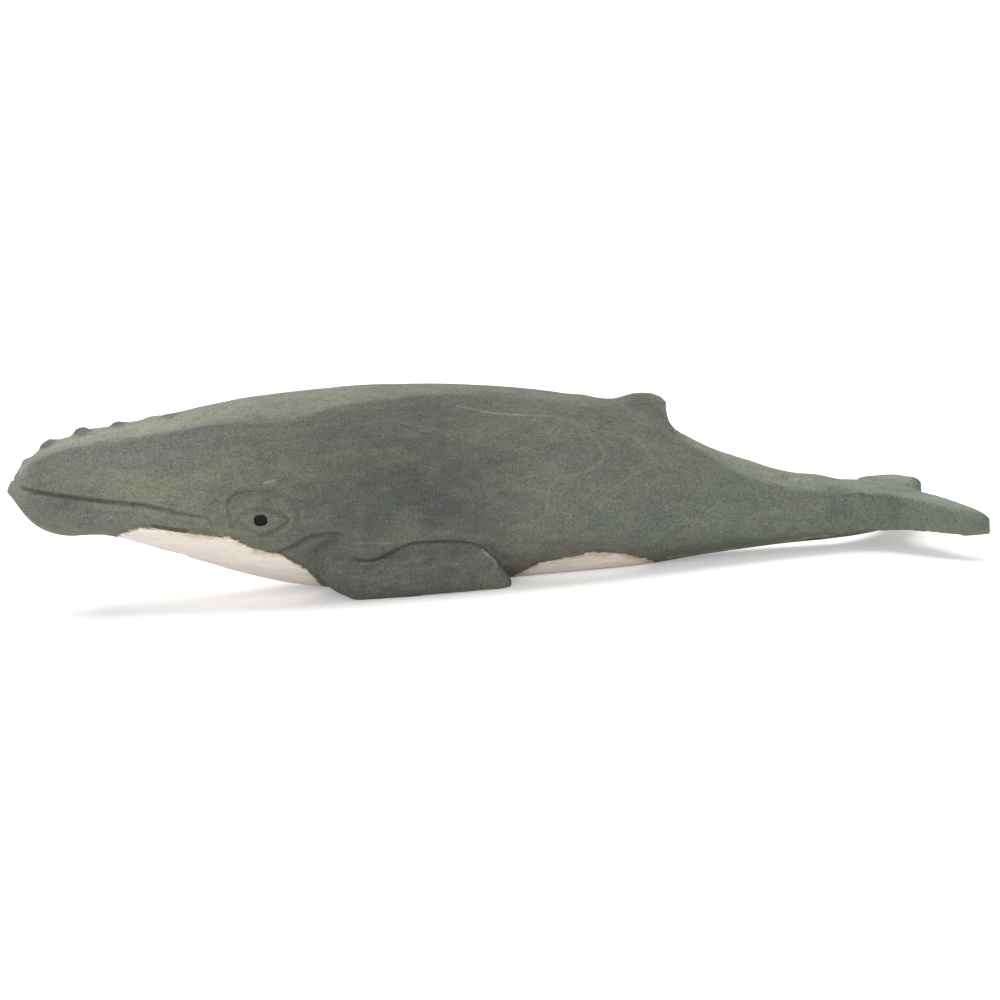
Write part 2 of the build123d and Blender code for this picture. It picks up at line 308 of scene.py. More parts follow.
# How much paler the crown is painted along the whale: painted top light, with paler paint
crown_light_and_paleness_px = (
    (16, 0.6), (60, 0.5), (100, 0.3), (200, 0.3), (330, 0.5), (400, 0.3), (500, 0.12), (600, 0.05),
    (640, 0), (675, 0.25), (720, 0.45), (830, 0.3), (880, 0.25), (910, 0.15), (990, 0.05),
)
snout_facet_px = ((63, 467), (93, 470.5), (120, 472), (143, 471.5))
lip_px = ((60, 506, 0), (93, 510, 1), (120, 513, 1), (150, 517, 1), (185, 522, 1), (208, 526, 0))

# Upper border of the white paint, and a dark brown sliver on it, painted shade in the groove under the
# jaw
throat_px = (
    (112, 537), (122, 534), (133, 530.5), (149, 528.5), (182, 532.6), (199, 535), (219, 537.5),
    (229, 538), (243, 544), (255, 550), (266, 552), (280, 555), (290, 561), (300, 566), (308, 571),
    (314, 577), (319, 584), (325, 589),
)
belly_px = (
    (515, 575), (526, 570.6), (541, 563), (557, 560), (574, 557), (592, 553), (612, 553), (632, 556),
    (653, 561),
)
sliver_px = ((153, 526), (160, 527.5), (172, 529.5), (185, 531.5))

# Knife marks and edges rubbed down to paler wood, and painted highlights above the eye and on the
# flipper's rear edge: how pale, and the line in pixels
worn_and_highlit_px = (
    (0.45, ((457, 406), (480, 411), (506, 414.5), (530, 415.5), (552, 416))),
    (0.15, ((552, 416), (572, 422), (590, 433), (600, 445))),
    (0.4, ((600, 445), (604, 452), (601, 462))),
    (0.2, ((601, 462), (585, 472), (562, 478), (549, 489))),
    (0.4, ((549, 489), (547, 502), (547, 514))),
    (0.35, ((625, 432), (638, 441), (649, 451))),
    (0.2, ((650, 467), (628, 479), (606, 495), (600, 512))),
    (0.12, ((512, 530), (542, 520))),
    (0.18, ((555, 536), (572, 532))),
    (0.15, ((650, 544), (662, 535), (675, 525))),
    # A painted highlight on the ridge above the eye
    (0.9, ((265, 483), (270, 481.5), (275, 481))),
    (0.12, ((215, 490), (219, 472), (228, 455), (238, 446))),
    (0.2, ((93, 470.5), (120, 472), (143, 471.5))),
    (0.3, ((352, 543.5), (372, 543), (392, 543))),
    (0.35, ((362, 563.5), (378, 562))),
    # Partly a painted highlight: the pale rear edge of the flipper
    (0.55, ((482, 549), (492, 560), (498, 571), (503, 580))),
)
tail_edge_px = (
    (668, 558, 1), (700, 553.5, 0.9), (740, 548, 0.8), (780, 542.7, 1), (815, 538, 1), (840, 535.5, 0),
)

# Stain by hand with painted light and shade: its lightness along the whale, partly painted light and
# shade, and patches in pixels with their reach in millimetres
tone_and_light_px = (
    (10, 1.05), (60, 1.1), (150, 1.3), (240, 1.05), (320, 0.88), (450, 0.92), (560, 1), (700, 1.15),
    (850, 1.15), (990, 1.05),
)
green_px = ((560, 0.0), (700, 0.5), (850, 0.8), (990, 1.0))
cool_patches_px = (
    ((420, 500), 26, 1), ((335, 520), 12, 0.8), ((480, 470), 16, 0.35), ((75, 515), 9, 0.5),
)
# Teal patches: stain blotches, and painted shade at the flipper's front and behind its rear end
teal_stain_and_shade_px = (
    ((213, 507), 5, 0.8), ((325, 552), 7, 0.5), ((340, 575), 7, 0.45), ((445, 563), 9, 0.5),
    ((505, 562), 5, 0.6), ((600, 515), 11, 0.5), ((650, 530), 10, 0.4), ((730, 522), 13, 0.35),
    ((838, 508), 4, 0.9), ((935, 518), 9, 0.35), ((395, 400), 10, 0.3),
)
# Painted light: paler patches that lift faces lying in shade, as on the far fluke's tip and the snout's
# upper side
painted_light_patches_px = (
    ((912, 484), 12, 0.45), ((18, 480), 6, 0.45), ((75, 463), 9, 0.18), ((120, 458), 8, 0.08),
    ((882, 508), 2.5, 0.2), ((560, 480), 14, 0.1),
)

# Lines and patches of the photograph by name
lines_px = {
    "mouth": mouth_px, "fold": fold_px, "low_fold": low_fold_px, "outer_lid": outer_lid_px,
    "inner_lid": inner_lid_px, "seam": seam_px, "lip": lip_px, "snout_facet": snout_facet_px,
    "sliver": sliver_px, "tail_edge": tail_edge_px, "throat": throat_px, "belly": belly_px,
    "crown": crown_px, "tail_crown": tail_crown_px,
}
patches_px = {"cool": cool_patches_px, "teal_and_shade": teal_stain_and_shade_px, "pale": painted_light_patches_px}

# Grooves: width, depth and sharpness. Ridges: width and height. Painted shade along lines: width and
# darkness.
cuts = {
    "mouth": (0.8, 0.65, 1.4), "lip": (1.2, 0.25, 1.0), "fold": (1.2, 0.8, 1.4),
    "low_fold": (1.6, 0.6, 1.0), "outer_lid": (1.2, 0.5, 1.0), "inner_lid": (1.1, 0.5, 1.0),
    "seam": (0.6, 0.6, 1.2),
}
ridges = {"crown": (1.2, 0.12), "tail_crown": (1.0, 0.2), "snout_facet": (1.2, 0.22), "worn_and_highlit": (0.7, 0.15)}
shaded_lines = {
    "mouth": (0.75, 0.9), "fold": (0.8, 1.0), "low_fold": (1.0, 0.75), "inner_lid": (0.8, 0.75),
    "outer_lid": (0.8, 0.6), "seam": (0.5, 1.0),
}


def unit(vector):
    """The vector at length one."""
    return vector / np.linalg.norm(vector)


def linked(name, data):
    """A new object in the scene."""
    thing = bpy.data.objects.new(name, data)
    bpy.context.scene.collection.objects.link(thing)
    return thing


def mesh_of(build, name):
    """The built faces as a mesh."""
    mesh = bpy.data.meshes.new(name)
    build.to_mesh(mesh)
    build.free()
    return mesh


# Camera


def way_to(azimuth, elevation):
    """The way from the whale to a place round it. Azimuth 0 is in front of its left side."""
    azimuth, elevation = math.radians(azimuth), math.radians(elevation)
    flat = math.cos(elevation)
    return np.array((math.sin(azimuth) * flat, -math.cos(azimuth) * flat, math.sin(elevation)))


def camera_axes():
    """Right, up and back of the camera."""
    back = way_to(camera_azimuth, camera_elevation)
    level = way_to(camera_azimuth + 90.0, 0.0)
    rise = np.cross(back, level)
    roll = math.radians(camera_roll)
    right = math.cos(roll) * level - math.sin(roll) * rise
    up = math.sin(roll) * level + math.cos(roll) * rise
    return right, up, back


def make_camera():
    """The camera of the photograph."""
    right, up, back = camera_axes()
    data = bpy.data.cameras.new("camera")
    data.sensor_width = sensor_width
    data.lens = photo_focal * sensor_width / photo_side
    data.clip_start = 0.01
    camera = linked("camera", data)
    place = np.array(camera_aim) + back * camera_distance
    turn = Matrix((right, up, back)).transposed().to_4x4()
    camera.matrix_world = Matrix.Translation(Vector(place * MM)) @ turn
    bpy.context.scene.camera = camera


# Shader nodes


class Graph:
    """The nodes of the sky or of a material."""

    def __init__(self, tree):
        self.nodes = tree.nodes
        self.links = tree.links
        self.nodes.clear()

    def add(self, kind, inputs=None, **settings):
        """A node with its settings, and its inputs by name or number."""
        node = self.nodes.new(kind)
        for name, value in settings.items():
            setattr(node, name, value)
        for name, value in (inputs or {}).items():
            socket = node.inputs[name]
            if isinstance(value, bpy.types.NodeSocket):
                self.links.new(value, socket)
            elif socket.type == "RGBA":
                socket.default_value = (*value, 1.0)
            else:
                socket.default_value = value
        return node

    def math(self, operation, one, two):
        """Arithmetic on two values."""
        return self.add("ShaderNodeMath", {0: one, 1: two}, operation=operation).outputs[0]

    def times(self, one, two):
        """Two values multiplied."""
        return self.math("MULTIPLY", one, two)

    def step(self, value, low, high):
        """0 below one value and 1 above another, smooth between."""
        inputs = {"Value": value, "From Min": low, "From Max": high}
        return self.add("ShaderNodeMapRange", inputs, interpolation_type="SMOOTHSTEP").outputs["Result"]

    def between(self, value, low, high):
        """A value from 0 to 1 stretched to lie from low to high."""
        inputs = {"Value": value, "To Min": low, "To Max": high}
        return self.add("ShaderNodeMapRange", inputs).outputs["Result"]

    def seen_or_mirrored(self):
        """1 where the camera or a reflection looks, and 0 for the light that falls on things."""
        path = self.add("ShaderNodeLightPath").outputs
        return self.math("MAXIMUM", path["Is Camera Ray"], path["Is Glossy Ray"])


# Light and floor


def make_lamp(name, azimuth, elevation, strength, spread):
    """A broad far lamp."""
    lamp = bpy.data.lights.new(name, "SUN")
    lamp.energy = strength * math.pi
    lamp.angle = math.radians(spread)
    way = Vector(way_to(azimuth, elevation))
    linked(name, lamp).rotation_euler = way.to_track_quat("Z", "Y").to_euler()


def make_light():
    """An even white sky, a broad lamp high behind the whale and a weaker one low in front of it."""
    world = bpy.data.worlds.new("studio")
    world.use_nodes = True
    bpy.context.scene.world = world
    graph = Graph(world.node_tree)
    strength = graph.between(graph.seen_or_mirrored(), sky_strength, 1.0)
    sky = graph.add("ShaderNodeBackground", {"Color": sky_colour, "Strength": strength})
    graph.add("ShaderNodeOutputWorld", {"Surface": sky.outputs[0]})
    make_lamp("overhead", **overhead_lamp)
    make_lamp("front", **front_lamp)


def make_floor():
    """A plain white floor that keeps the shadow and looks white to the camera."""
    mesh = bpy.data.meshes.new("floor")
    corners = [(floor_side / 2 * x, floor_side / 2 * y, 0.0) for x, y in square]
    mesh.from_pydata(corners, [], [(0, 1, 2, 3)])
    material = bpy.data.materials.new("floor")
    material.use_nodes = True
    graph = Graph(material.node_tree)
    strength = graph.times(graph.seen_or_mirrored(), floor_glow)
    glow = graph.add("ShaderNodeEmission", {"Strength": strength})
    matt = graph.add("ShaderNodeBsdfDiffuse", {"Color": floor_colour})
    both = graph.add("ShaderNodeAddShader", {0: matt.outputs[0], 1: glow.outputs[0]})
    graph.add("ShaderNodeOutputMaterial", {"Surface": both.outputs[0]})
    mesh.materials.append(material)
    linked("floor", mesh)


# The block that everything is carved in


def read(rows, name, width, kind=float):
    """A property of a mesh's points or edges as an array."""
    found = np.empty(len(rows) * width, kind)
    rows.foreach_get(name, found)
    return found.reshape(-1, width)


class Block:
    """A closed mesh as arrays: points in millimetres, and edges between neighbours."""

    def __init__(self, mesh):
        self.mesh = mesh
        self.points = read(mesh.vertices, "co", 3) / MM
        self.edges = read(mesh.edges, "vertices", 2, np.int64)
        self.degree = np.bincount(self.edges.ravel(), minlength=len(self.points))

    def around(self, values):
        """The mean of each point's neighbours."""
        one, two = self.edges.T
        count = len(values)
        sums = [np.bincount(one, row[two], count) + np.bincount(two, row[one], count) for row in values.T]
        return np.stack(sums, axis=1) / self.degree[:, None]

    def relax(self, share, rounds):
        """Draws points towards their neighbours, round after round, each by its own share."""
        for _ in range(rounds):
            self.points += share[:, None] * (self.around(self.points) - self.points)

    def normals(self, rounds):
        """Outward directions, softened over some rounds of neighbours."""
        self.store()
        found = read(self.mesh.vertices, "normal", 3)
        for _ in range(rounds):
            found = self.around(found)
        return found / np.linalg.norm(found, axis=1, keepdims=True)

    def store(self):
        """Writes the points back to the mesh."""
        self.mesh.vertices.foreach_set("co", (self.points * MM).ravel())
        self.mesh.update()


def joined_nodes():
    """One mesh with the faces of all CAD nodes."""
    build = bmesh.new()
    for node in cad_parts.values():
        build.from_mesh(node.data)
    return mesh_of(build, "block")


def with_modifier(mesh, kind, **settings):
    """The mesh after one modifier."""
    holder = linked("holder", mesh)
    modifier = holder.modifiers.new(kind, kind)
    for name, value in settings.items():
        setattr(modifier, name, value)
    graph = bpy.context.evaluated_depsgraph_get()
    made = bpy.data.meshes.new_from_object(holder.evaluated_get(graph))
    bpy.data.objects.remove(holder)
    return made


def largest_shell(mesh):
    """Deletes every shell of the mesh but the one with the most points."""
    one, two = read(mesh.edges, "vertices", 2, np.int64).T
    label = np.arange(len(mesh.vertices))
    last = None
    while not np.array_equal(label, last):
        last = label.copy()
        low = np.minimum(last[one], last[two])
        np.minimum.at(label, one, low)
        np.minimum.at(label, two, low)
        label = label[label]
    kept = np.bincount(label).argmax()
    build = bmesh.new()
    build.from_mesh(mesh)
    build.verts.ensure_lookup_table()
    stray = [build.verts[i] for i in np.flatnonzero(label != kept)]
    bmesh.ops.delete(build, geom=stray, context="VERTS")
    build.to_mesh(mesh)
    build.free()


def tree_of(mesh):
    """A tree for casting rays on a mesh."""
    build = bmesh.new()
    build.from_mesh(mesh)
    tree = BVHTree.FromBMesh(build)
    build.free()
    return tree


# Lines of the photograph, laid on the whale


def smooth_line(points):
    """More points on a smooth curve through the given ones. Columns past the third are carried along."""
    points = np.asarray(points, float)
    rows = [points[0]]
    last = len(points) - 1
    for i in range(last):
        before, here, there, after = (points[min(max(j, 0), last)] for j in (i - 1, i, i + 1, i + 2))
        pieces = max(1, math.ceil(np.linalg.norm((there - here)[:3]) / line_step))
        for t in np.arange(1, pieces + 1)[:, None] / pieces:
            rows.append(
                0.5 * (2 * here + (there - before) * t
                       + (2 * before - 5 * here + 4 * there - after) * t**2
                       + (3 * here - before - 3 * there + after) * t**3)
            )
    return np.array(rows)


def view_lines(pixels):
    """The camera's place, and the direction in which it sees each pixel of the photograph."""
    right, up, back = camera_axes()
    offsets = (np.array([pixel[:2] for pixel in pixels]) - photo_side / 2) / photo_focal
    ways = [across * right - down * up - back for across, down in offsets]
    return np.array(camera_aim) + back * camera_distance, ways


def on_whale(tree, pixels):
    """The whale's surface behind pixels of the photograph. Further columns stay as they are."""
    eye, ways = view_lines(pixels)
    rows = []
    for pixel, way in zip(pixels, ways):
        hit = tree.ray_cast(Vector(eye * MM), Vector(way))[0]
        if hit is not None:
            rows.append((*(np.array(hit) / MM), *pixel[2:]))
    return np.array(rows)


def on_middle(pixel):
    """The point of the whale's middle plane behind a pixel."""
    eye, (way,) = view_lines([pixel])
    return eye - way * eye[1] / way[1]


def folded(points):
    """The points of both sides laid over the side that the photograph shows."""
    one_side = points.copy()
    one_side[:, 1] = -np.abs(points[:, 1])
    return one_side


def laid(tree, pixels):
    """A line of the photograph on the whale, and its mirror image on the far side."""
    line = smooth_line(on_whale(tree, pixels))
    mirrored = line.copy()
    mirrored[:, 1] *= -1
    return [line, mirrored]


def from_side(tree, x, z, side):
    """The point of the surface seen from that side, at a place in length and height."""
    start = Vector((x, side * outside, z)) * MM
    hit = tree.ray_cast(start, Vector((0.0, -side, 0.0)))[0]
    return np.array(hit) / MM


def ring(tree, centre, halves, side):
    """An ellipse laid on one side of the whale."""
    turns = np.linspace(0, math.tau, ring_steps + 1)
    along = centre[0] + halves[0] * np.cos(turns)
    up = centre[2] + halves[1] * np.sin(turns)
    return np.array([from_side(tree, x, z, side) for x, z in zip(along, up)])


def near_line(points, line, reach):
    """Indices of points within reach of a line, their distances, and the line's fourth column there."""
    low = line[:, :3].min(axis=0) - reach
    high = line[:, :3].max(axis=0) + reach
    index = np.flatnonzero(((points > low) & (points < high)).all(axis=1))
    best = np.full(len(index), np.inf)
    carried = np.ones(len(index))
    for here, there in zip(line[:-1], line[1:]):
        way = there[:3] - here[:3]
        t = np.clip((points[index] - here[:3]) @ way / max(way @ way, 1e-12), 0, 1)
        distance = np.linalg.norm(points[index] - here[:3] - t[:, None] * way, axis=1)
        closer = distance < best
        best[closer] = distance[closer]
        if line.shape[1] > 3:
            carried[closer] = (here[3] + t * (there[3] - here[3]))[closer]
    close = best < reach
    return index[close], best[close], carried[close]


# Shaping


def heal(block, lines, reach, rounds):
    """Fills a band along lines, so that it can be carved anew by hand."""
    share = np.zeros(len(block.points))
    for line in lines:
        index, distance, _ = near_line(block.points, line, reach)
        near = np.clip((reach - distance) / (heal_edge_share * reach), 0, 1)
        share[index] = np.maximum(share[index], near)
    block.relax(share, rounds)


def dome(distance):
    """1 in the middle, falling smoothly to 0 at a distance of 1."""
    return 0.5 + 0.5 * np.cos(math.pi * np.minimum(distance, 1))


def carve(block, lines, width, rise, section):
    """Raises the surface along lines, or cuts it, by their fourth column and the section across them."""
    normals = block.normals(carve_softness)
    for line in lines:
        index, distance, share = near_line(block.points, line, width)
        block.points[index] += normals[index] * (rise * share * section(distance / width))[:, None]


def swell(block, spots):
    """Raises round swellings on both sides, and sinks hollows where the rise is below zero."""
    normals = block.normals(swell_softness)
    one_side = folded(block.points)
    for centre, reach, rise in spots:
        distance = np.linalg.norm(one_side - centre, axis=1)
        block.points += normals * (rise * dome(distance / reach))[:, None]


def column_place(column):
    """Where a pixel column of the photograph meets the crest, along the whale."""
    return on_middle((column, crest_row))[0]


def by_column(points, rows):
    """Values given at pixel columns, at the points' places along the whale."""
    places = [column_place(column) for column, _ in rows]
    return np.interp(points[:, 0], places, [value for _, value in rows])


def crest_share(points):
    """1 on the crest of the snout, falling to 0 beside it."""
    half_width = by_column(points, crest_half_width_px)
    across = np.clip(1 - (points[:, 1] / half_width) ** 2, 0, 1)
    return across * (points[:, 2] > crest_floor)


def raise_crest(block):
    """Raises the crest of the snout, with its tubercles."""
    rise = by_column(block.points, crest_rise_px) * crest_share(block.points)
    block.points[:, 2] += rise + by_column(block.points, tip_lift_px)


def knife_facets(block):
    """Slices many long shallow flats off the rounded surface, as a knife leaves them."""
    random = np.random.default_rng(facet_seed)
    normals = block.normals(facet_softness)
    for _ in range(facet_count):
        anchor = random.integers(len(block.points))
        length = random.uniform(*facet_lengths)
        width = length * random.uniform(*facet_width_shares)
        depth = random.uniform(*facet_depths)
        way = unit(normals[anchor] + random.normal(0, facet_wander, 3))
        near = np.flatnonzero(np.abs(block.points - block.points[anchor]).max(axis=1) < length)
        off = block.points[near] - block.points[anchor]
        wide = unit(np.cross(way, (1.0, 0.0, random.normal(0, facet_slant))))
        long = np.cross(wide, way)
        spread = np.hypot(off @ long / length, off @ wide / width)
        window = np.clip((1 - spread) / facet_edge_share, 0, 1)
        proud = np.clip(off @ way + depth, 0, facet_deepest) * (normals[near] @ way > facet_facing)
        block.points[near] -= (proud * window)[:, None] * way


def blend_tail(block, finer):
    """Runs the tail stock smoothly into the flukes, and rounds the tips of the flukes."""
    low, high = stock_blend
    place = (block.points[:, 0] - low) / (high - low)
    share = np.clip(np.minimum(place, 1 - place) * stock_fade, 0, 1)
    block.relax(share, round(stock_rounds * finer))
    out = (np.abs(block.points[:, 1]) - tip_start) / tip_range
    block.relax(np.clip(out, 0, 1) * (place > 1), round(tip_rounds * finer))


def laid_spots(tree, spots):
    """Round spots of the photograph, each with its centre on the whale."""
    return [(folded(on_whale(tree, [pixel]))[0], *rest) for pixel, *rest in spots]


def old_lines(tree):
    """The solid's own carved lines, and the front of its first tubercle."""
    lines = laid(tree, snout_tip_px) + laid(tree, mouth_px) + laid(tree, fold_px)
    lines += [ring(tree, eye_centre, halves, side) for halves in cad_rings for side in sides]
    lines.append(smooth_line([on_middle(pixel) for pixel in snout_front_px]))
    return lines


def softened_block():
    """The whole whale as one block, its carved lines filled and its inner corners softened."""
    whole = joined_nodes()
    tree = tree_of(whole)
    size = voxel
    finer = (voxel / size) ** 2
    mesh = with_modifier(whole, "REMESH", mode="VOXEL", voxel_size=size * MM)
    largest_shell(mesh)
    block = Block(mesh)
    heal(block, old_lines(tree), heal_reach, round(heal_rounds * finer))
    for pixels, reach, rounds in soft_lines:
        heal(block, laid(tree, pixels), reach, round(rounds * finer))
    blend_tail(block, finer)
    block.relax(np.full(len(block.points), settle_share), settle_rounds)
    block.store()
    return block


def laid_lines(tree):
    """Every line and patch of the photograph on the whale, by name."""
    lines = {name: laid(tree, pixels) for name, pixels in lines_px.items()}
    lines["worn_and_highlit"] = []
    for pale, pixels in worn_and_highlit_px:
        lines["worn_and_highlit"] += laid(tree, [(*pixel, pale) for pixel in pixels])
    for name, spots in patches_px.items():
        lines[name] = laid_spots(tree, spots)
    return lines


def carved_block():
    """The block with its hand-carved relief, and the lines laid on it."""
    block = softened_block()
    tree = tree_of(block.mesh)
    lines = laid_lines(tree)
    knife_facets(block)
    swell(block, laid_spots(tree, swells_px))
    raise_crest(block)
    for name, (width, depth, sharpness) in cuts.items():
        carve(block, lines[name], width, -depth, lambda off: (1 - off) ** sharpness)
    for name, (width, height) in ridges.items():
        carve(block, lines[name], width, height, dome)
    block.points[:, 2] = np.maximum(block.points[:, 2], 0.0)
    block.store()
    return block, lines


# Cutting the block into pieces


def cut(mesh, cutter, operation):
    """The mesh less the cutter, or what the two share."""
    holder = linked("cutter", cutter)
    made = with_modifier(mesh, "BOOLEAN", object=holder, operation=operation, solver="MANIFOLD")
    bpy.data.objects.remove(holder)
    return made


def prism(outline, way):
    """A closed solid from a flat outline in millimetres, drawn out along a vector."""
    build = bmesh.new()
    base = build.faces.new([build.verts.new(Vector(point) * MM) for point in outline])
    made = bmesh.ops.extrude_face_region(build, geom=[base])
    moved = [part for part in made["geom"] if isinstance(part, bmesh.types.BMVert)]
    bmesh.ops.translate(build, verts=moved, vec=Vector(way) * MM)
    bmesh.ops.recalc_face_normals(build, faces=build.faces)
    bmesh.ops.triangulate(build, faces=build.faces)
    return mesh_of(build, "prism")


def seat_outline(node, side):
    """The rim of the flipper's seat face, in order."""
    build = bmesh.new()
    build.from_mesh(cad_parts[node].data)
    bmesh.ops.remove_doubles(build, verts=build.verts, dist=1e-7)
    depth = {vert: side * vert.co.y - vert.co.z * seat_slope for vert in build.verts}
    deepest = min(depth.values()) + seat_slack * MM
    seat = {face for face in build.faces if all(depth[vert] < deepest for vert in face.verts)}
    rim = [edge for edge in build.edges if sum(face in seat for face in edge.link_faces) == 1]
    loops = []
    while rim:
        loop = list(rim.pop().verts)
        while found := next((edge for edge in rim if loop[-1] in edge.verts), None):
            rim.remove(found)
            loop.append(found.other_vert(loop[-1]))
        loops.append([np.array(vert.co) / MM for vert in loop[:-1]])
    build.free()
    return np.array(max(loops, key=len))


def widened(outline):
    """A flat outline in X and Z moved outwards all round to the seam."""
    ahead = np.roll(outline, -1, axis=0)
    along = ahead - np.roll(outline, 1, axis=0)
    outward = np.stack([along[:, 2], 0 * along[:, 0], -along[:, 0]], axis=1)
    outward /= np.linalg.norm(outward, axis=1, keepdims=True)
    area = (outline[:, 0] * ahead[:, 2] - ahead[:, 0] * outline[:, 2]).sum()
    return outline + outward * seam_out * np.sign(area)


def flipper_space(node, side):
    """The space in front of a flipper's seat, a little wider than the flipper and open below."""
    outline = widened(seat_outline(node, side))
    outline[outline[:, 2] < low_edge, 2] = -low_edge
    outline[:, 1] = side * (seat_offset + outline[:, 2] * seat_slope)
    return prism(outline, (0.0, side * outside, 0.0))


def tail_space():
    """The space behind the joint between the tail stock and the flukes."""
    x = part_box("tail_flukes")[0][0] / MM
    return prism([(x, outside * y, outside * z) for y, z in square], (outside, 0.0, 0.0))


def eye_outline(share=1.0):
    """The squarish round of the eye, in X and Z."""
    turns = np.linspace(0, math.tau, eye_steps, endpoint=False)
    across = np.stack([np.cos(turns), 0 * turns, np.sin(turns)], axis=1)
    squarish = np.sign(across) * np.abs(across) ** (2 / eye_squareness)
    middle = (eye_centre[0], 0.0, eye_centre[2])
    return middle + share * squarish * (eye_half_length, 0.0, eye_half_height)


def eye_socket(side):
    """The space in front of an eye, down to behind its face."""
    floor = abs(eye_centre[1]) - eye_depth
    return prism(eye_outline() + (0.0, side * floor, 0.0), (0.0, side * outside, 0.0))


def eye_mesh(tree, side):
    """A dark peg with a softly domed head, a little below the face round it."""
    build = bmesh.new()
    rings = []
    for share in eye_ring_shares:
        loop = []
        for x, _, z in eye_outline(share):
            y = from_side(tree, x, z, side)[1] - side * (eye_sunk - eye_dome * (1 - share**2))
            loop.append(build.verts.new(Vector((x, y, z)) * MM))
        rings.append(loop)
    floor = side * (abs(eye_centre[1]) - eye_depth) * MM
    back = [build.verts.new((vert.co.x, floor, vert.co.z)) for vert in rings[0]]
    for one, two in zip([back, *rings[:-1]], rings):
        for i in range(len(one)):
            j = (i + 1) % len(one)
            build.faces.new((one[i], one[j], two[j], two[i]))
    build.faces.new(back)
    build.faces.new(rings[-1])
    bmesh.ops.recalc_face_normals(build, faces=build.faces)
    return mesh_of(build, "eye")


# Values for the materials, worked out on the block and carried by the pieces cut from it


def stand_out(block):
    """How far each point stands out from the mean of the surface round it, in millimetres."""
    smooth = block.points
    for _ in range(wear_rounds):
        smooth = block.around(smooth)
    return ((block.points - smooth) * block.normals(bulge_softness)).sum(axis=1)


def below(points, border, fade):
    """How far each point lies below a border along the whale, less the farther past an end of it."""
    border = border[np.argsort(border[:, 0])]
    edge = np.interp(points[:, 0], border[:, 0], border[:, 2])
    past = np.maximum(border[0, 0] - points[:, 0], points[:, 0] - border[-1, 0])
    return edge - points[:, 2] - fade * np.maximum(past, 0)


def nearness(points, lines, reach):
    """1 on the lines, falling to 0 at a reach from them, times the lines' fourth column."""
    value = np.zeros(len(points))
    for line in lines:
        index, distance, share = near_line(points, line, reach)
        value[index] = np.maximum(value[index], share * (1 - distance / reach))
    return value


def in_patches(points, patches):
    """How strongly each point lies in one of the patches."""
    one_side = folded(points)
    value = np.zeros(len(points))
    for centre, reach, strength in patches:
        distance = np.linalg.norm(one_side - centre, axis=1)
        value = np.maximum(value, strength * np.clip(1 - distance / reach, 0, 1) ** patch_falloff)
    return value


def tubercle_share(points):
    """1 on the brown tubercles, falling to 0 round them."""
    value = np.zeros(len(points))
    for start, end in tubercles_px:
        middle = column_place((start + end) / 2)
        along = (points[:, 0] - middle) / (column_place(end) - middle)
        share = tubercle_edge * (crest_share(points) - tubercle_taper * along**2)
        value = np.maximum(value, np.clip(share, 0, 1))
    return value


def shade_and_stain_depth(points, lines, bulge):
    """How dark each point is painted: shade and stain in hollows, and shade in the carved lines."""
    value = shade_and_stain_share * np.clip((-bulge - shade_and_stain_from) / shade_and_stain_range, 0, 1)
    for name, (reach, share) in shaded_lines.items():
        value = np.maximum(value, share * nearness(points, lines[name], reach))
    return value


def crown_light_and_paleness(points, lines):
    """How much paler each point is painted for lying on the crown: painted top light, with paler paint.
    """
    depths = [below(points, lines[name][0], -border_fade) for name in ("crown", "tail_crown")]
    return by_column(points, crown_light_and_paleness_px) * np.clip(0.5 - np.minimum(*depths) / crown_softness, 0, 1)


def surface_values(block, lines):
    """What the materials need to know at each point of the block."""
    points = block.points
    bulge = stand_out(block)
    values = {
        "wear": wear_share * np.clip((bulge - wear_from) / wear_range, 0, 1),
        "worn_and_highlit_line": nearness(points, lines["worn_and_highlit"], worn_and_highlit_reach) ** worn_and_highlit_falloff,
        "shade_and_stain": shade_and_stain_depth(points, lines, bulge),
        "throat": below(points, lines["throat"][0], throat_fade),
        "belly": below(points, lines["belly"][0], border_fade),
        "crown": crown_light_and_paleness(points, lines),
        "sliver": nearness(points, lines["sliver"], sliver_reach),
        "tail_edge": nearness(points, lines["tail_edge"], tail_edge_reach),
        "tubercle": tubercle_share(points),
        "green": by_column(points, green_px),
        "tone_and_light": by_column(points, tone_and_light_px),
    }
    for name in patches_px:
        values[name] = in_patches(points, lines[name])
    return values


def lookup_tree(points):
    """A tree for finding the nearest point."""
    tree = KDTree(len(points))
    for i, point in enumerate(points):
        tree.insert(point, i)
    tree.balance()
    return tree


def give_values(mesh, values, lookup):
    """Copies the block's values to a piece cut from it."""
    index = [lookup.find(place)[1] for place in read(mesh.vertices, "co", 3) / MM]
    for name, value in values.items():
        layer = mesh.attributes.new(name, "FLOAT", "POINT")
        layer.data.foreach_set("value", value[index].astype(np.float32))


# Materials


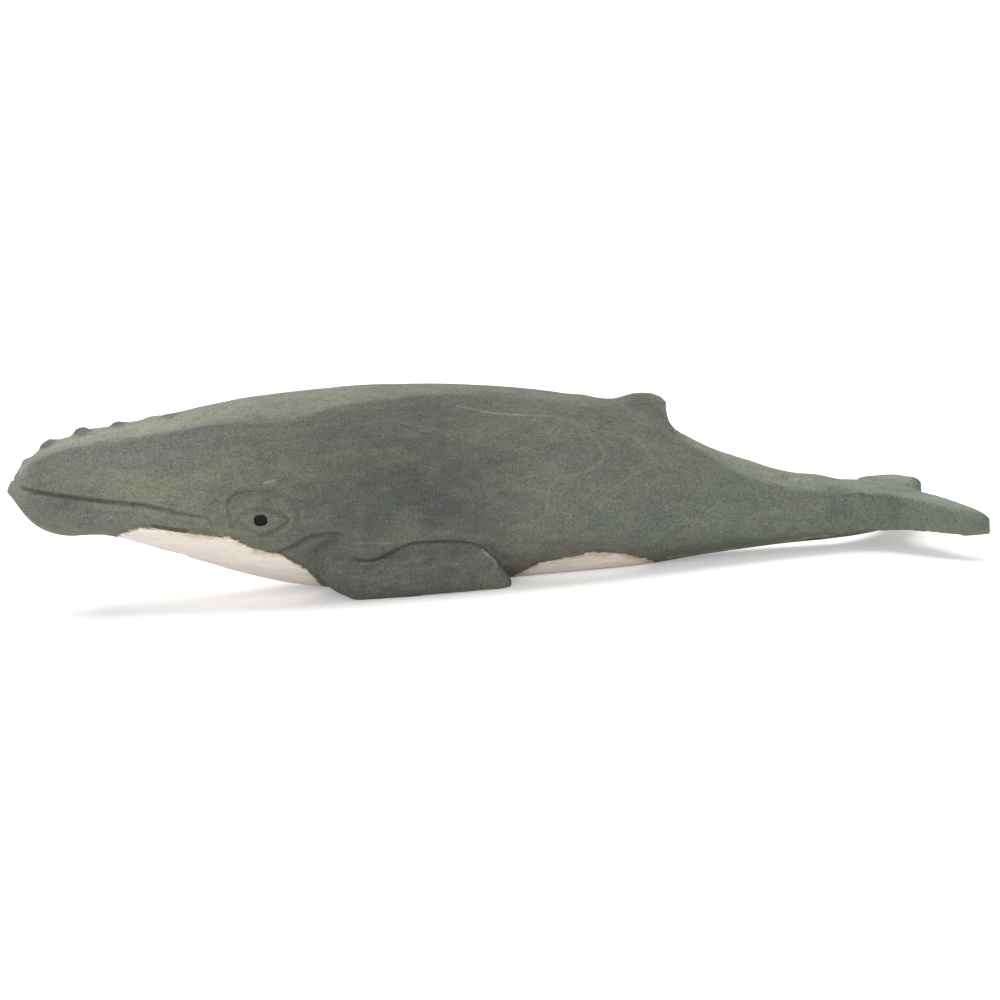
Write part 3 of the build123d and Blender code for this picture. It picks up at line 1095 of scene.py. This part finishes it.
class Wood(Graph):
    """A wooden material: its ground colour, the layers laid over it and its surface."""

    def __init__(self, name, ground):
        self.material = bpy.data.materials.new(name)
        self.material.use_nodes = True
        super().__init__(self.material.node_tree)
        self.place = self.add("ShaderNodeTexCoord").outputs["Object"]
        self.colour = ground

    def noise(self, size, stretch=(1, 1, 1), detail=3.0, roughness=0.55, distortion=0.0, shift=0.0):
        """Noise from 0 to 1 with lumps of that many millimetres, drawn out along the axes."""
        scale = [1 / (MM * size * share) for share in stretch]
        inputs = {0: self.place, 1: scale, 2: (shift, shift, shift)}
        place = self.add("ShaderNodeVectorMath", inputs, operation="MULTIPLY_ADD")
        inputs = {
            "Vector": place.outputs[0], "Scale": 1.0, "Detail": detail, "Roughness": roughness,
            "Distortion": distortion,
        }
        return self.add("ShaderNodeTexNoise", inputs).outputs["Fac"]

    def spots(self, name, **more):
        """Where the noise of that name shows."""
        return self.step(self.noise(**noises[name], **more), *steps[name])

    def attribute(self, name):
        """A value stored at the points of the mesh."""
        return self.add("ShaderNodeAttribute", attribute_name=name).outputs["Fac"]

    def blend(self, share, under, over):
        """One colour over another."""
        inputs = {0: share, 6: under, 7: over}
        return self.add("ShaderNodeMix", inputs, data_type="RGBA", clamp_factor=True).outputs[2]

    def layer(self, share, colour):
        """Lays a colour over the wood."""
        self.colour = self.blend(share, self.colour, colour)

    def scaled(self, colour, amount):
        """A colour times a value."""
        inputs = {0: colour, "Scale": amount}
        return self.add("ShaderNodeVectorMath", inputs, operation="SCALE").outputs[0]

    def shade(self, amount):
        """Makes the wood darker or paler."""
        self.colour = self.scaled(self.colour, amount)

    def finish(self, grain, height, lowest, highest, shine):
        """Gives the wood its surface, rougher along the grain."""
        inputs = {"Height": height, "Distance": grain_height * MM, "Strength": 1.0}
        bump = self.add("ShaderNodeBump", inputs)
        inputs = {
            "Base Color": self.colour, "Roughness": self.between(grain, lowest, highest),
            "Normal": bump.outputs[0], "Specular IOR Level": shine,
        }
        surface = self.add("ShaderNodeBsdfPrincipled", inputs)
        self.add("ShaderNodeOutputMaterial", {"Surface": surface.outputs[0]})
        return self.material


def stain(wood, grain):
    """A thin mottled stain of several colours, with painted light and shade: paler on the crown and in
    pale patches, lighter and darker along the whale, and teal shade round the flipper.
    """
    wood.layer(wood.spots("patches", stretch=grain), stain_olive)
    wood.layer(wood.attribute("green"), stain_green)
    wood.layer(wood.times(wood.attribute("cool"), wood.spots("clouds")), stain_blue)
    # Teal stain in pools and strays, with painted shade round the flipper
    teal_and_shade = wood.times(wood.attribute("teal_and_shade"), wood.spots("pools"))
    stray = wood.times(wood.spots("stray"), stray_strength)
    wood.layer(wood.math("MAXIMUM", teal_and_shade, stray), teal_stain_and_shade)
    # Lighter and darker along the whale: the stain's tone with painted light and shade
    wood.shade(wood.attribute("tone_and_light"))
    # Painted light: the crown lightened as top light, and the pale patches lifting faces that lie in
    # shade
    for name in ("crown", "pale"):
        wood.shade(wood.math("ADD", wood.attribute(name), 1.0))


def stained_wood(name, grain):
    """Wood under a thin stain, flecked along its grain, rubbed pale on edges with painted highlights, and
    dark in grooves with painted shade and stain.
    """
    wood = Wood(name, stain_grey)
    stain(wood, grain)
    fibres = [fibre_stretch if share > 1 else 1.0 for share in grain]
    fibre = wood.noise(stretch=fibres, **noises["fibre"])
    mottle = wood.noise(stretch=[math.sqrt(share) for share in grain], **noises["mottle"])
    speck = wood.noise(**noises["speck"])
    for kind, noise in (("fibre", fibre), ("mottle", mottle), ("speck", speck)):
        wood.shade(wood.between(noise, *shades[kind]))
    rubbed = wood.spots("rubbed", stretch=grain)
    # Rubbed pale wood on ridges and lines, with painted highlights on some lines
    worn_and_highlit = wood.math("ADD", wood.times(wood.attribute("wear"), rubbed), wood.attribute("worn_and_highlit_line"))
    wood.layer(wood.times(worn_and_highlit, wood.between(rubbed, *shades["rubbed"])), worn_wood_and_highlight)
    # Painted shade, with stain, in hollows and along the carved lines
    wood.layer(wood.attribute("shade_and_stain"), groove_shade_and_stain)
    return wood, fibre, speck


def finish_wood(wood, fibre, speck):
    """The matt, faintly fibrous surface of the wood."""
    fibre_height = wood.times(fibre, fibre_height_share)
    height = wood.math("ADD", fibre_height, wood.times(speck, speck_height_share))
    return wood.finish(fibre, height, *wood_surface)


def brown_tubercles(wood, speck):
    """Smudges the tubercles brown."""
    brown = wood.scaled(tubercle_brown, wood.between(speck, *shades["speck"]))
    smudges = wood.between(wood.noise(**noises["smudges"]), *shades["smudges"])
    wood.layer(wood.times(wood.attribute("tubercle"), smudges), brown)


def white_paint(wood):
    """Ragged white paint on throat and belly, with brown and bare wood along its edge."""
    tatters = wood.noise(**noises["tatters"])
    ragged = wood.times(wood.math("SUBTRACT", tatters, 0.5), tatter_size)
    inside = wood.math("MAXIMUM", wood.attribute("throat"), wood.attribute("belly"))
    inside = wood.math("ADD", inside, ragged)
    brown, rim, cream, full = (wood.step(inside, *ends) for ends in paint_steps.values())
    thin = wood.spots("thin")
    wood.layer(wood.times(wood.times(brown, thin), brown_strength), brown_wood_and_shade)
    rubbed = wood.times(wood.attribute("tail_edge"), wood.step(tatters, *steps["tail_edge"]))
    wood.layer(wood.math("MAXIMUM", rubbed, rim), bare_edge)
    white = wood.blend(wood.spots("brush"), paint_thin, paint_white)
    white = wood.blend(wood.times(wood.times(cream, thin), cream_strength), white, bare_edge)
    wood.layer(full, white)


def body_material():
    """The body: stained wood with brown tubercles, white paint and a dark brown sliver of painted shade
    at its edge.
    """
    wood, fibre, speck = stained_wood("body_stain", along_grain)
    brown_tubercles(wood, speck)
    white_paint(wood)
    # Painted shade: the dark brown sliver under the jaw
    brown = wood.scaled(brown_wood_and_shade, wood.between(fibre, *shades["sliver"]))
    wood.layer(wood.step(wood.attribute("sliver"), *steps["sliver"]), brown)
    return finish_wood(wood, fibre, speck)


def flipper_material():
    """The flippers, with the grain along the whale."""
    return finish_wood(*stained_wood("flipper_stain", along_grain))


def fluke_material():
    """The flukes, with the grain across the whale."""
    return finish_wood(*stained_wood("fluke_stain", across_grain))


def eye_material():
    """Near-black brown wood with a dull sheen."""
    wood = Wood("eye_brown", eye_brown)
    grain = wood.noise(**noises["eye"])
    wood.shade(wood.between(grain, *shades["eye"]))
    return wood.finish(grain, grain, *eye_surface)


def dowel_material():
    """Bare beech with short dark flecks along the dowels."""
    wood = Wood("beech", beech)
    fleck = wood.noise(**noises["fleck"])
    wood.layer(wood.step(fleck, *steps["fleck"]), beech_fleck)
    return wood.finish(fleck, fleck, *beech_surface)


# Building the whale


def show(name, mesh, nodes, material):
    """A finished piece in place of its CAD nodes."""
    piece = linked(name, mesh)
    mesh.materials.clear()
    mesh.materials.append(material)
    mesh.shade_smooth()
    mesh.set_sharp_from_angle(angle=math.radians(smooth_angle))
    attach(piece, "root")
    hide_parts(*nodes)


def thinned(mesh):
    """The mesh with no more triangles than it may have."""
    share = most_triangles / sum(len(face.vertices) - 2 for face in mesh.polygons)
    return with_modifier(mesh, "DECIMATE", ratio=share) if share < 1 else mesh


def make_whale():
    """Body, flippers, flukes and eyes, cut from one block."""
    block, lines = carved_block()
    values = surface_values(block, lines)
    lookup = lookup_tree(block.points)
    tree = tree_of(block.mesh)
    mesh = thinned(block.mesh)
    space = tail_space()
    flukes = cut(mesh, space, "INTERSECT")
    body = cut(mesh, space, "DIFFERENCE")
    flipper_stain = flipper_material()
    eye_paint = eye_material()
    for side, name in zip(sides, side_names):
        space = flipper_space("flipper_" + name, side)
        flipper = cut(body, space, "INTERSECT")
        body = cut(body, space, "DIFFERENCE")
        body = cut(body, eye_socket(side), "DIFFERENCE")
        give_values(flipper, values, lookup)
        show("carved_flipper_" + name, flipper, ["flipper_" + name], flipper_stain)
        show("pegged_eye_" + name, eye_mesh(tree, side), ["eye_" + name], eye_paint)
    give_values(body, values, lookup)
    give_values(flukes, values, lookup)
    show("carved_body", body, ["body"], body_material())
    show("carved_flukes", flukes, ["tail_flukes"], fluke_material())


def stain_dowels():
    """Gives the dowels, which show their solids, bare wood."""
    bare_beech = dowel_material()
    for name in ("flipper_dowels_left", "flipper_dowels_right", "fluke_dowels"):
        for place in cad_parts[name].material_slots:
            place.material = bare_beech


make_camera()
make_light()
make_floor()
bpy.context.scene.view_settings.view_transform = "Standard"
make_whale()
stain_dowels()
